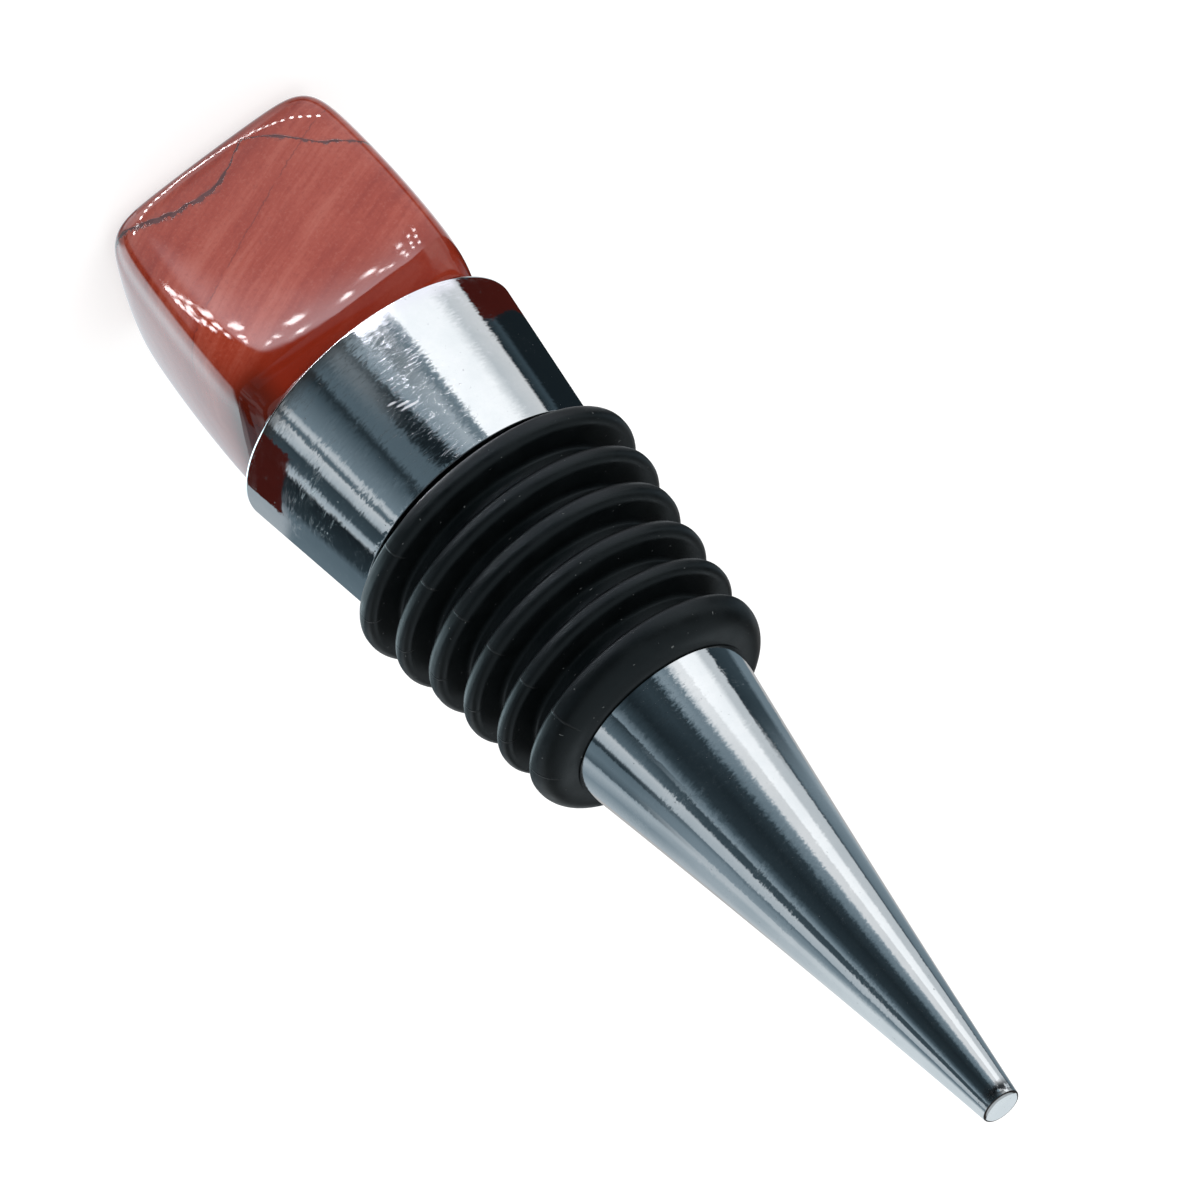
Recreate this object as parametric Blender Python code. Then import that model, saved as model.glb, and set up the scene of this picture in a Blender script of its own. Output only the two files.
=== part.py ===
"""Gemstone bottle stopper, standing on the end face of its stone with the cone pointing up.

Blender 4.5 script, metres, +Z up. The origin is on the stopper's axis, in the plane of the stone's
end face. Every piece hangs on an empty at the metal collar's rim, where the stone is bonded, so
its own heights run from the rim towards the tip of the cone.
"""

import math

import bmesh
import bpy
from mathutils import Matrix, Vector

# Round pieces
SEGMENTS = 60            # sides of every turned piece that shows
STUD_SEGMENTS = 24       # sides of the stud and of the holes it sits in
FIT_GAP = 0.0003         # left round a piece in its bore
FACE_GAP = 0.0001        # left between flat faces that lie on each other

# Gemstone, a tumbled and polished cube
STONE_HEIGHT = 0.0211    # collar rim to end face
STONE_WIDTH = 0.0209     # across opposite side faces, near the base
STONE_TAPER = 0.0004     # how much nearer each side comes to the middle at the far end
BASE_ROUNDING = 0.0051   # height over which the sides curve in to the base
BASE_INSET = 0.00115     # how far they come in there
END_ROUNDING = 0.0034    # height over which the sides curve in to the end face
END_INSET = 0.00255      # how far they come in there
CORNER_RADIUS = 0.0022   # upright edges, seen from the end
SIDE_CROWN = 0.00036     # bulge at the middle of each side face
BASE_OFFSET = -0.0002    # how far the stone's base is glued off the axis
END_OFFSET = -0.00054    # how far the end face lies off the axis
STONE_TURN = math.radians(-11)  # turn of the cube about the stopper's axis
CORNER_STEPS = 7         # points round each upright edge
SIDE_STEPS = 8           # points along each side face
ROUNDING_STEPS = 6       # rings up each rounded end

# Chrome-plated metal body, one casting
RIM_RADIUS = 0.0125
COLLAR_TAPER = 0.00164   # how much smaller the collar's foot is in radius
COLLAR_LENGTH = 0.0129
RIM_EDGE = 0.00025       # small rounding on the collar's two edges
CONE_SHOULDER = 0.00062  # step from the sleeve's seat out to the cone, which keeps the sleeve on
CONE_LENGTH = 0.0410
TIP_RADIUS = 0.00164
TIP_EDGE = 0.0004        # rounding of the blunt tip
GLUE_WELL_RADIUS = 0.0060
GLUE_WELL_DEPTH = 0.0010

# Threaded stud that carries the stone, M6, and its two blind holes
STUD_RADIUS = 0.0030
STUD_LENGTH = 0.0140
STUD_IN_METAL = 0.0070
STUD_CHAMFER = 0.0006
HOLE_END_GAP = 0.0005

# Ribbed rubber sleeve
RIB_OVER_RIM = 0.0001    # the first rib's crest stands out from under the rim
RIB_SHRINK = (0.0, 0.00055, 0.00118, 0.00156, 0.00191, 0.00224)  # each crest's radius under the first's
RIB_DEPTH = 0.0023       # crest to the floor of the groove beside it
SLEEVE_WALL = 0.00076    # under the last groove, the deepest in
RIB_PITCH = 0.00358
FIRST_RIB = 0.0015       # sleeve's top to the middle of its first rib
LIP_LENGTH = 0.0023      # middle of the last rib to the sleeve's lower end
RIB_CREST = 0.00072      # radius of each rounded crest
RIB_ROOT = 0.00095       # half thickness of a rib where it leaves the sleeve
GROOVE_FILLET = 0.00035
CREST_POINTS = 5
SLEEVE_TOP_CLEARANCE = 0.0003   # the dark line between collar and sleeve
SLEEVE_LIP_WIDTH = 0.0007       # flat ring at the sleeve's lower mouth
LIP_ROUNDING = 0.0006

# Radii that follow: the sleeve hangs from its ribs, and the casting's seat fits in its bore
COLLAR_FOOT_RADIUS = RIM_RADIUS - COLLAR_TAPER
GROOVE_RADII = [RIM_RADIUS + RIB_OVER_RIM - shrink - RIB_DEPTH for shrink in RIB_SHRINK]
SLEEVE_BORE = GROOVE_RADII[-1] - SLEEVE_WALL
SEAT_RADIUS = SLEEVE_BORE - FIT_GAP
CONE_RADIUS = SEAT_RADIUS + CONE_SHOULDER

# Places along the axis, from the collar's rim towards the tip
SLEEVE_TOP = COLLAR_LENGTH + SLEEVE_TOP_CLEARANCE
SLEEVE_FOOT = SLEEVE_TOP + FIRST_RIB + RIB_PITCH * (len(RIB_SHRINK) - 1) + LIP_LENGTH
CONE_TOP = SLEEVE_FOOT + FACE_GAP
TIP_END = CONE_TOP + CONE_LENGTH


def clear_scene():
    """Empties the file that the script was opened in."""
    for old in list(bpy.data.objects):
        bpy.data.objects.remove(old)


def finish(name, colour, metallic, roughness):
    """A Principled material with one colour."""
    made = bpy.data.materials.new(name)
    made.use_nodes = True
    shader = made.node_tree.nodes["Principled BSDF"]
    shader.inputs["Base Color"].default_value = (*colour, 1.0)
    shader.inputs["Metallic"].default_value = metallic
    shader.inputs["Roughness"].default_value = roughness
    return made


def piece(name, bm, surface, holder):
    """Turns a bmesh into a named object whose own zero is the collar's rim plane."""
    bmesh.ops.recalc_face_normals(bm, faces=bm.faces)
    mesh = bpy.data.meshes.new(name)
    bm.to_mesh(mesh)
    bm.free()
    mesh.materials.append(surface)
    mesh.shade_smooth()
    mesh.set_sharp_from_angle(angle=math.radians(35))
    made = bpy.data.objects.new(name, mesh)
    bpy.context.scene.collection.objects.link(made)
    made.parent = holder
    return made


def turned(profile, segments, closed=False):
    """Spins (radius, height) points round Z. A closed profile makes a ring, an open one meets the axis."""
    bm = bmesh.new()
    points = [bm.verts.new((radius, 0.0, height)) for radius, height in profile]
    pairs = list(zip(points, points[1:]))
    if closed:
        pairs.append((points[-1], points[0]))
    edges = [bm.edges.new(pair) for pair in pairs]
    bmesh.ops.spin(
        bm, geom=points + edges, cent=(0, 0, 0), axis=(0, 0, 1),
        angle=math.tau, steps=segments, use_merge=True,
    )
    bmesh.ops.remove_doubles(bm, verts=bm.verts, dist=1e-7)
    return bm


def arc(centre_radius, centre_height, radius, start, end, count):
    """Points on a circular arc in the (radius, height) plane, angles in degrees from straight out."""
    made = []
    for step in range(count):
        angle = math.radians(start + (end - start) * step / (count - 1))
        made.append((
            centre_radius + radius * math.cos(angle),
            centre_height + radius * math.sin(angle),
        ))
    return made


def stopper_body(surface, holder):
    """The casting: blind stud hole, glue well, collar, sleeve seat, cone and blunt tip in one profile."""
    hole_radius = STUD_RADIUS + FIT_GAP
    hole_floor = STUD_IN_METAL + HOLE_END_GAP
    profile = [
        (0.0, hole_floor),
        (hole_radius, hole_floor),
        (hole_radius, GLUE_WELL_DEPTH),
        (GLUE_WELL_RADIUS, GLUE_WELL_DEPTH),
        (GLUE_WELL_RADIUS, 0.0),
        *arc(RIM_RADIUS - RIM_EDGE, RIM_EDGE, RIM_EDGE, -90, 0, 4),
        *arc(COLLAR_FOOT_RADIUS - RIM_EDGE, COLLAR_LENGTH - RIM_EDGE, RIM_EDGE, 0, 90, 3),
        (SEAT_RADIUS, COLLAR_LENGTH),
        (SEAT_RADIUS, CONE_TOP),
        (CONE_RADIUS, CONE_TOP),
        *arc(TIP_RADIUS - TIP_EDGE, TIP_END - TIP_EDGE, TIP_EDGE, 0, 90, 5),
        (0.0, TIP_END),
    ]
    return piece("stopper_body", turned(profile, SEGMENTS), surface, holder)


def sleeve_profile():
    """Closed section of the sleeve: down the outside over every rib, and back up the bore.

    The floor of each groove lies RIB_DEPTH under the crest of the rib below it.
    """
    section = [(SLEEVE_BORE, SLEEVE_TOP), (GROOVE_RADII[0], SLEEVE_TOP)]
    for index, floor in enumerate(GROOVE_RADII):
        height = SLEEVE_TOP + FIRST_RIB + RIB_PITCH * index
        section += [
            (floor, height - RIB_ROOT - GROOVE_FILLET),
            (floor + GROOVE_FILLET, height - RIB_ROOT),
            *arc(floor + RIB_DEPTH - RIB_CREST, height, RIB_CREST, -90, 90, CREST_POINTS),
        ]
        for below in GROOVE_RADII[index + 1:index + 2]:
            section += [
                (below + GROOVE_FILLET, height + RIB_ROOT),
                (below, height + RIB_ROOT + GROOVE_FILLET),
            ]
    lip_radius = CONE_RADIUS + SLEEVE_LIP_WIDTH
    section += arc(lip_radius - LIP_ROUNDING, SLEEVE_FOOT - LIP_ROUNDING, LIP_ROUNDING, 45, 90, 3)
    section.append((SLEEVE_BORE, SLEEVE_FOOT))
    return section


def sealing_sleeve(surface, holder):
    """The moulded sleeve, stretched over the cone on to its seat."""
    return piece("sealing_sleeve", turned(sleeve_profile(), SEGMENTS, closed=True), surface, holder)


def threaded_stud(surface, holder):
    """A chamfered stud, half in the casting and half in the stone."""
    low = STUD_IN_METAL - STUD_LENGTH
    high = STUD_IN_METAL
    profile = [
        (0.0, low),
        (STUD_RADIUS - STUD_CHAMFER, low),
        (STUD_RADIUS, low + STUD_CHAMFER),
        (STUD_RADIUS, high - STUD_CHAMFER),
        (STUD_RADIUS - STUD_CHAMFER, high),
        (0.0, high),
    ]
    return piece("threaded_stud", turned(profile, STUD_SEGMENTS), surface, holder)


def epoxy_bond(surface, holder):
    """The cured glue that fills the well round the stud."""
    inner = STUD_RADIUS + FIT_GAP
    outer = GLUE_WELL_RADIUS - FACE_GAP
    floor = GLUE_WELL_DEPTH - FACE_GAP
    profile = [(inner, 0.0), (outer, 0.0), (outer, floor), (inner, floor)]
    return piece("epoxy_bond", turned(profile, SEGMENTS, closed=True), surface, holder)


def rounded_square(half_width, corner, crown):
    """Points round a square with rounded corners and crowned sides, counter-clockwise.

    A side's crown is a parabola, highest at the middle of the side and nothing at its corners.
    """
    points = []
    flat = half_width - corner
    for side in range(4):
        turn = Matrix.Rotation(math.tau * side / 4, 3, "Z")
        for step in range(SIDE_STEPS):
            along = -1 + 2 * step / SIDE_STEPS
            points.append(turn @ Vector((half_width + crown * (1 - along * along), flat * along, 0)))
        for step in range(CORNER_STEPS):
            angle = math.tau / 4 * step / CORNER_STEPS
            points.append(turn @ Vector((
                flat + corner * math.cos(angle), flat + corner * math.sin(angle), 0,
            )))
    return points


def stone_levels():
    """(depth below the base, half width, fullness) of each ring of the stone, base first.

    Both ends are quarter ellipses, and fullness runs from 0 on a flat to 1 on the sides.
    """
    half = STONE_WIDTH / 2
    ends = (
        (0.0, 1, half, BASE_ROUNDING, BASE_INSET),
        (STONE_HEIGHT - FACE_GAP, -1, half - STONE_TAPER, END_ROUNDING, END_INSET),
    )
    levels = []
    for flat_depth, inward, full_half, rounding, inset in ends:
        rings = []
        for step in range(ROUNDING_STEPS + 1):
            angle = math.tau / 4 * step / ROUNDING_STEPS
            fullness = math.sin(angle)
            depth = flat_depth + inward * rounding * (1 - math.cos(angle))
            rings.append((depth, full_half - inset * (1 - fullness), fullness))
        levels += rings[::inward]
    return levels


def stone_ring(depth, half_width, fullness):
    """One ring of the stone, level with the others and leaning with END_OFFSET."""
    corner = CORNER_RADIUS * (2 - fullness)
    offset = BASE_OFFSET + (END_OFFSET - BASE_OFFSET) * depth / STONE_HEIGHT
    place = Matrix.Rotation(STONE_TURN, 4, "Z") @ Matrix.Translation((offset, 0, -FACE_GAP - depth))
    return [place @ point for point in rounded_square(half_width, corner, SIDE_CROWN * fullness)]


def gemstone(surface, holder):
    """The polished stone: rounded squares bridged into one skin, flat at both ends and drilled."""
    bm = bmesh.new()
    rings = [[bm.verts.new(point) for point in stone_ring(*level)] for level in stone_levels()]
    count = len(rings[0])
    for lower, upper in zip(rings, rings[1:]):
        for i in range(count):
            j = (i + 1) % count
            bm.faces.new((lower[i], lower[j], upper[j], upper[i]))
    bm.faces.new(rings[0])
    bm.faces.new(rings[-1])
    made = piece("gemstone", bm, surface, holder)

    hole_depth = STUD_LENGTH - STUD_IN_METAL + HOLE_END_GAP
    hole_radius = STUD_RADIUS + FIT_GAP
    drill = turned([
        (0.0, hole_depth), (hole_radius, hole_depth), (hole_radius, -hole_depth), (0.0, -hole_depth),
    ], STUD_SEGMENTS)
    cutter = piece("stone_drill", drill, surface, holder)
    cutter.hide_render = True
    cutter.display_type = "WIRE"
    cut = made.modifiers.new("stud_hole", "BOOLEAN")
    cut.operation = "DIFFERENCE"
    cut.object = cutter
    return made


def main():
    clear_scene()
    rim_plane = bpy.data.objects.new("rim_plane", None)
    bpy.context.scene.collection.objects.link(rim_plane)
    rim_plane.location = (0, 0, STONE_HEIGHT)

    jasper = finish("polished_jasper", (0.33, 0.07, 0.035), 0.0, 0.12)
    chrome = finish("chrome_plate", (0.80, 0.82, 0.84), 1.0, 0.06)
    rubber = finish("black_rubber", (0.012, 0.013, 0.014), 0.0, 0.45)
    steel = finish("zinc_plated_steel", (0.55, 0.55, 0.53), 1.0, 0.35)
    glue = finish("clear_epoxy", (0.60, 0.56, 0.42), 0.0, 0.25)

    gemstone(jasper, rim_plane)
    epoxy_bond(glue, rim_plane)
    threaded_stud(steel, rim_plane)
    stopper_body(chrome, rim_plane)
    sealing_sleeve(rubber, rim_plane)


main()
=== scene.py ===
# %% [markdown]
# # Gemstone bottle stopper
#
# The stopper has a polished cube of red jasper, a chrome casting that tapers to a blunt tip, and a
# black rubber sleeve with six rings that seals the bottle. It stands on the flat end of its stone.
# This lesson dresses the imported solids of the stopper: each visible piece is worked out again as a
# fine surface, from a formula, and gets a material made of nodes.

import math

import bpy
import numpy as np
from mathutils import Matrix, Vector


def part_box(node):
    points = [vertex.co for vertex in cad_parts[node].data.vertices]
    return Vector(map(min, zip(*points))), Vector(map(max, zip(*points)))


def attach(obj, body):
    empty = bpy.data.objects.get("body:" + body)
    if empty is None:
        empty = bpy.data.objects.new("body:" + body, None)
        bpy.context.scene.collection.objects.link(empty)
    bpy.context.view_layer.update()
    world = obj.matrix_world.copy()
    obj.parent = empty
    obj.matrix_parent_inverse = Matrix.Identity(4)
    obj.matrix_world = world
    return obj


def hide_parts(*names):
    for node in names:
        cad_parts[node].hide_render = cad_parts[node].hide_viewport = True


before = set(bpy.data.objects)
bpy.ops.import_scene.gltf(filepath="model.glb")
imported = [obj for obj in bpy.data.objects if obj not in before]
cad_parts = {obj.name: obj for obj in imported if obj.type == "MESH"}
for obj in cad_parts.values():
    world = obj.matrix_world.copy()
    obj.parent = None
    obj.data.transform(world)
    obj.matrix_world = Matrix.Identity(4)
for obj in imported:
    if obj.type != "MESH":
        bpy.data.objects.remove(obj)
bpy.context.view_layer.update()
MM = 0.001

rim_low, body_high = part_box("stopper_body")
sleeve_low, sleeve_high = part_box("sealing_sleeve")
stud_low, stud_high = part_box("threaded_stud")
RIM_Z = rim_low[2]                 # the collar's rim, where the stone is bonded
RIM_RADIUS = body_high[0]
TIP_Z = body_high[2]
SLEEVE_TOP, SLEEVE_FOOT = sleeve_low[2] - RIM_Z, sleeve_high[2] - RIM_Z
print(f"rim at {RIM_Z / MM:.1f} mm, radius {RIM_RADIUS / MM:.2f} mm, tip at {TIP_Z / MM:.1f} mm")

# %% [markdown]
# The photograph was taken with a long lens, so lines that run away from the camera stay almost
# parallel. Its camera looks down on the stopper by 24 degrees, and it is rolled until the tip points
# to the lower right of the picture. The angle came from how far the round rim is flattened, and the
# roll from the direction of the axis.

# %% Camera
LOOK_DOWN = math.radians(24.09)
TIP_DIRECTION = math.radians(48.67)        # of the tip in the picture, below a line to the right
CAMERA_PLACE = Vector((-2.42, -1177.74, RIM_Z / MM + 550.84)) * MM
FOCAL_LENGTH = 521.9                       # mm, on a sensor 36 mm wide


def put_in_scene(name, data):
    """A new object at the origin."""
    made = bpy.data.objects.new(name, data)
    bpy.context.scene.collection.objects.link(made)
    return made


forward = Vector((0.0, math.cos(LOOK_DOWN), -math.sin(LOOK_DOWN)))
right = Vector((
    -math.sin(TIP_DIRECTION),
    math.sin(LOOK_DOWN) * math.cos(TIP_DIRECTION),
    math.cos(LOOK_DOWN) * math.cos(TIP_DIRECTION),
))
up = right.cross(forward)
camera_data = bpy.data.cameras.new("camera")
camera_data.lens = FOCAL_LENGTH
camera_data.sensor_width = 36.0
camera_data.clip_end = 20.0
camera = put_in_scene("camera", camera_data)
turned = Matrix((right, up, -forward)).transposed().to_4x4()
camera.matrix_world = Matrix.Translation(CAMERA_PLACE) @ turned
bpy.context.scene.camera = camera
print("camera", [round(value, 3) for value in camera.location])

# %% [markdown]
# Every new piece is a grid of points: one parameter goes round the piece and the other along it.
# Numpy works out all the points at once. This helper turns such a grid into a mesh, and it is used
# for the stone, the casting, the sleeve, the stud and the glue.

# %% A skin over a grid of points


def together(*parts):
    """Puts arrays side by side, so that three arrays of numbers become one of points."""
    return np.stack(np.broadcast_arrays(*parts), axis=-1)


def skin(name, points, closed_rows=False, poles=(), sharp=180):
    """Joins neighbouring points of a (rows, columns, 3) grid into faces.

    The columns always close into a ring. The rows close too for a ring-shaped piece, and otherwise
    poles gives the two single points that close the first and the last row. Shading is smooth over
    edges that bend by less than sharp, in degrees.
    """
    rows, columns = points.shape[:2]
    index = np.arange(rows * columns).reshape(rows, columns)
    if closed_rows:
        index = np.vstack([index, index[:1]])
    beside = np.roll(index, -1, axis=1)
    quads = together(index[:-1], beside[:-1], beside[1:], index[1:]).reshape(-1, 4)
    vertices = points.reshape(-1, 3)
    triangles = np.empty((0, 3), int)
    if len(poles):
        first = len(vertices)
        vertices = np.vstack([vertices, poles])
        start = together(beside[0], index[0], first)
        triangles = np.vstack([start, together(index[-1], beside[-1], first + 1)])
    corners = np.concatenate([quads.ravel(), triangles.ravel()])
    sides = np.concatenate([np.full(len(quads), 4), np.full(len(triangles), 3)])
    mesh = bpy.data.meshes.new(name)
    mesh.vertices.add(len(vertices))
    mesh.vertices.foreach_set("co", vertices.ravel())
    mesh.loops.add(len(corners))
    mesh.loops.foreach_set("vertex_index", corners)
    mesh.polygons.add(len(sides))
    mesh.polygons.foreach_set("loop_start", np.cumsum(sides) - sides)
    mesh.update(calc_edges=True)
    mesh.validate()
    mesh.shade_smooth()
    if sharp < 180:
        mesh.set_sharp_from_angle(angle=math.radians(sharp))
    return put_in_scene(name, mesh)


def dress(made, node):
    """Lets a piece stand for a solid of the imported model."""
    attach(made, "root")
    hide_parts(node)
    print(f"{made.name}: {len(made.data.vertices)} points, {len(made.data.polygons)} faces")


# %% [markdown]
# The stone was a cube that was tumbled in a drum with grit, so its faces are slightly domed and its
# edges run into them without a line. A Bevel modifier would make edges that start suddenly, and a
# polished surface shows that. So the stone is one formula: each face asks how near a point is to it,
# the answers are raised to a high power and added, and the surface is where the sum is 1. A higher
# power makes a sharper edge. The base is ground flat where it is glued.

# %% The stone's surface
STONE_HALF = 10.87 * MM          # half the width of the flat sides, near the base
STONE_TAPER = math.radians(1.7)  # how much each side leans in towards the end face
STONE_TURN = math.radians(-10.5)
STONE_SHIFT = np.array([-0.37, 0.11]) * MM
STONE_LEAN = 0.019               # sideways shift of the stone for each unit of height
SIDE_DOME = 0.0045 / MM          # how far a side falls back, over its squared distance from its middle
SIDE_POWER = 9.4                 # for the four upright edges
END_POWER = 8.6                  # for the edges round the end face
BASE_POWER = 6.2                 # for the edges round the base
BASE_BEYOND = 1.1 * MM           # how far the base would reach if it weren't ground flat
GROUND_GAP = 0.1 * MM            # glue under the base
STONE_REACH = 30 * MM            # further from its middle than any point of the stone
HALVINGS = 40                    # of that reach, to find the surface
CROWD_ROUND, CROWD_UP = 0.11, 0.10   # how much the grid is crowded at the edges
STONE_MIDDLE = np.array([*STONE_SHIFT, RIM_Z / 2])


def stone_level(points):
    """How full the stone is at the points: less than 1 inside, 1 on the surface, more outside.

    Each side's part is (distance towards the side + dome x squared distance beside it) over the half
    width. The sides' parts are added at SIDE_POWER, and their sum, the end's part and the base's part
    are added at powers of their own.
    """
    local = points - STONE_MIDDLE
    height = local[..., 2]
    upright = local - height[..., None] * np.array([STONE_LEAN, 0.0, 0.0])
    around = STONE_TURN + np.arange(4) * math.tau / 4
    level, lean = math.cos(-STONE_TAPER), math.sin(-STONE_TAPER)
    normals = together(np.cos(around) * level, np.sin(around) * level, lean)
    towards = upright @ normals.T
    beside = np.maximum((upright ** 2).sum(axis=-1)[..., None] - towards ** 2, 0.0)
    sides = np.maximum((towards + SIDE_DOME * beside) / STONE_HALF, 0.0) ** SIDE_POWER
    end = np.maximum(-height, 0.0) / (RIM_Z / 2)
    base = np.maximum(height, 0.0) / (RIM_Z / 2 + BASE_BEYOND)
    return sides.sum(axis=-1) ** (END_POWER / SIDE_POWER) + end ** END_POWER + base ** BASE_POWER


def stone_meets(start, direction):
    """Where lines from inside the stone leave it, found by halving an interval of distances."""
    low, high = np.zeros(direction.shape[:-1]), np.full(direction.shape[:-1], STONE_REACH)
    for _ in range(HALVINGS):
        middle = (low + high) / 2
        outside = stone_level(start + middle[..., None] * direction) > 1.0
        high, low = np.where(outside, middle, high), np.where(outside, low, middle)
    return start + low[..., None] * direction


print("stone level at its middle", float(stone_level(STONE_MIDDLE)))

# %% The stone as a piece


def make_gemstone(rows=236, columns=400):
    """Directions over a sphere, row by row from the end face up to the base, as far as the surface.

    The angles are crowded where the edges are, by taking a part of a sine from them. What lies past
    the ground base is drawn back along its direction to that plane.
    """
    around = np.arange(columns) / columns * math.tau
    around = around - CROWD_ROUND * np.sin(4 * (around - STONE_TURN - math.tau / 8))
    height = (np.arange(rows) + 1) / (rows + 1) * math.pi
    height = height + CROWD_UP * np.sin(4 * height)
    a, h = np.meshgrid(around, height)
    direction = together(np.sin(h) * np.cos(a), np.sin(h) * np.sin(a), -np.cos(h))
    direction = np.concatenate([direction.reshape(-1, 3), [[0.0, 0.0, -1.0], [0.0, 0.0, 1.0]]])
    points = stone_meets(STONE_MIDDLE, direction) - STONE_MIDDLE
    ground = RIM_Z / 2 - GROUND_GAP
    points *= np.minimum(1.0, ground / np.maximum(points[:, 2:], 1e-9))
    points += STONE_MIDDLE
    return skin("stone_cube", points[:-2].reshape(rows, columns, 3), poles=points[-2:])


stone = make_gemstone()
dress(stone, "gemstone")
print("stone", [round(float(side) / MM, 1) for side in stone.dimensions], "mm")

# %% [markdown]
# The metal casting is turned: every cut across it is a circle. So it is a profile of radius against
# height that is carried round the axis. The rim and the foot of the collar are broken by a tiny
# rounding, which catches the light as a thin bright line, and the cone is a hair hollow, as polished
# cones are.

# %% The casting's sizes, and helpers for profiles
COLLAR_FOOT_RADIUS = 10.86 * MM
COLLAR_LENGTH = 12.9 * MM
RIM_EDGE = 0.08 * MM
NECK_RADIUS = 7.0 * MM
CONE_RADIUS = 7.70 * MM
CONE_START = SLEEVE_FOOT + 0.1 * MM
CONE_HOLLOW = 0.16 * MM            # how far the cone's side lies inside a straight line
TIP_RADIUS = 1.60 * MM
TIP_EDGE = 0.32 * MM
TIP_LENGTH = TIP_Z - RIM_Z
WELL_RADIUS, WELL_DEPTH = 6.0 * MM, 1.0 * MM
HOLE_RADIUS, HOLE_DEPTH = 3.3 * MM, 7.5 * MM
COLUMNS = 256                      # points round the casting and the sleeve


def line(start, end, count):
    """Points on a straight line of (radius, height), without its last point."""
    share = np.arange(count)[:, None] / count
    return np.array(start) * (1 - share) + np.array(end) * share


def arc(centre, radius, start, end, count):
    """Points on a circular arc of (radius, height), angles in degrees from straight out."""
    angle = np.radians(np.linspace(start, end, count))
    return np.array(centre) + radius * together(np.cos(angle), np.sin(angle))


def carried_round(profile, columns):
    """Each (radius, height) of the profile on a circle round the axis, with heights from the rim."""
    angle = np.arange(columns) / columns * math.tau
    radius, height = profile[:, :1], profile[:, 1:] + RIM_Z
    return together(radius * np.cos(angle), radius * np.sin(angle), height)


print("cone from", round(CONE_START / MM, 2), "to", round(TIP_LENGTH / MM, 2), "mm from the rim")

# %% The casting as a piece


def casting_profile():
    """From the floor of the stud's hole out over the rim, down the collar and along the cone."""
    share = np.linspace(0.0, 1.0, 60)[:-1]
    cone = together(
        CONE_RADIUS + (TIP_RADIUS - CONE_RADIUS) * share - CONE_HOLLOW * 4 * share * (1 - share),
        CONE_START + (TIP_LENGTH - TIP_EDGE - CONE_START) * share,
    )
    return np.vstack([
        line((HOLE_RADIUS * 0.05, HOLE_DEPTH), (HOLE_RADIUS, HOLE_DEPTH), 4),
        line((HOLE_RADIUS, HOLE_DEPTH), (HOLE_RADIUS, WELL_DEPTH), 4),
        line((HOLE_RADIUS, WELL_DEPTH), (WELL_RADIUS, WELL_DEPTH), 3),
        line((WELL_RADIUS, WELL_DEPTH), (WELL_RADIUS, 0.0), 3),
        line((WELL_RADIUS, 0.0), (RIM_RADIUS - RIM_EDGE, 0.0), 6),
        arc((RIM_RADIUS - RIM_EDGE, RIM_EDGE), RIM_EDGE, -90, 0, 9),
        line(
            (RIM_RADIUS - RIM_EDGE * 0.13, RIM_EDGE * 2),
            (COLLAR_FOOT_RADIUS, COLLAR_LENGTH - RIM_EDGE), 24,
        ),
        arc((COLLAR_FOOT_RADIUS - RIM_EDGE, COLLAR_LENGTH - RIM_EDGE), RIM_EDGE, 0, 90, 7),
        line((COLLAR_FOOT_RADIUS - RIM_EDGE * 2, COLLAR_LENGTH), (NECK_RADIUS, COLLAR_LENGTH), 4),
        line((NECK_RADIUS, COLLAR_LENGTH), (NECK_RADIUS, CONE_START), 6),
        line((NECK_RADIUS, CONE_START), (CONE_RADIUS - 0.05 * MM, CONE_START), 2),
        cone,
        arc((TIP_RADIUS - TIP_EDGE, TIP_LENGTH - TIP_EDGE), TIP_EDGE, 0, 90, 9),
        line((TIP_RADIUS - TIP_EDGE * 1.3, TIP_LENGTH), (0.1 * MM, TIP_LENGTH), 5),
    ])


def make_casting():
    """The casting, closed at the floor of its hole and at the tip."""
    poles = np.array([[0.0, 0.0, RIM_Z + HOLE_DEPTH], [0.0, 0.0, TIP_Z]])
    return skin("chrome_casting", carried_round(casting_profile(), COLUMNS), poles=poles, sharp=38)


casting = make_casting()
dress(casting, "stopper_body")

# %% [markdown]
# The sleeve is moulded rubber, stretched over the cone until it sits under the collar. Its rings
# are thin fins with rounded crests, and each is a little smaller than the one above. The grooves
# between them are deep, so they stay dark. Again a profile is carried round, and the profile is
# built ring by ring from arcs.

# %% The sleeve's rings
RING_RADIUS = np.array([12.57, 12.04, 11.40, 11.03, 10.67, 10.34]) * MM
RING_HEIGHT = np.array([14.71, 18.39, 21.75, 25.47, 29.10, 32.59]) * MM
RING_CREST = np.array([0.80, 0.72, 0.80, 0.78, 0.70, 0.62]) * MM   # radius of the rounding
RING_FLAT = np.array([0.12, 0.08, 0.15, 0.08, 0.08, 0.08]) * MM    # half the straight part between
GROOVE_DEPTH = 2.3 * MM
GROOVE_FILLET = 0.40 * MM
RING_FLARE = 0.05 * MM             # how much a ring's foot stands out past its crest on each side
SLEEVE_BORE = NECK_RADIUS + 0.3 * MM
LIP_RADIUS = CONE_RADIUS + 0.15 * MM


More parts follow.
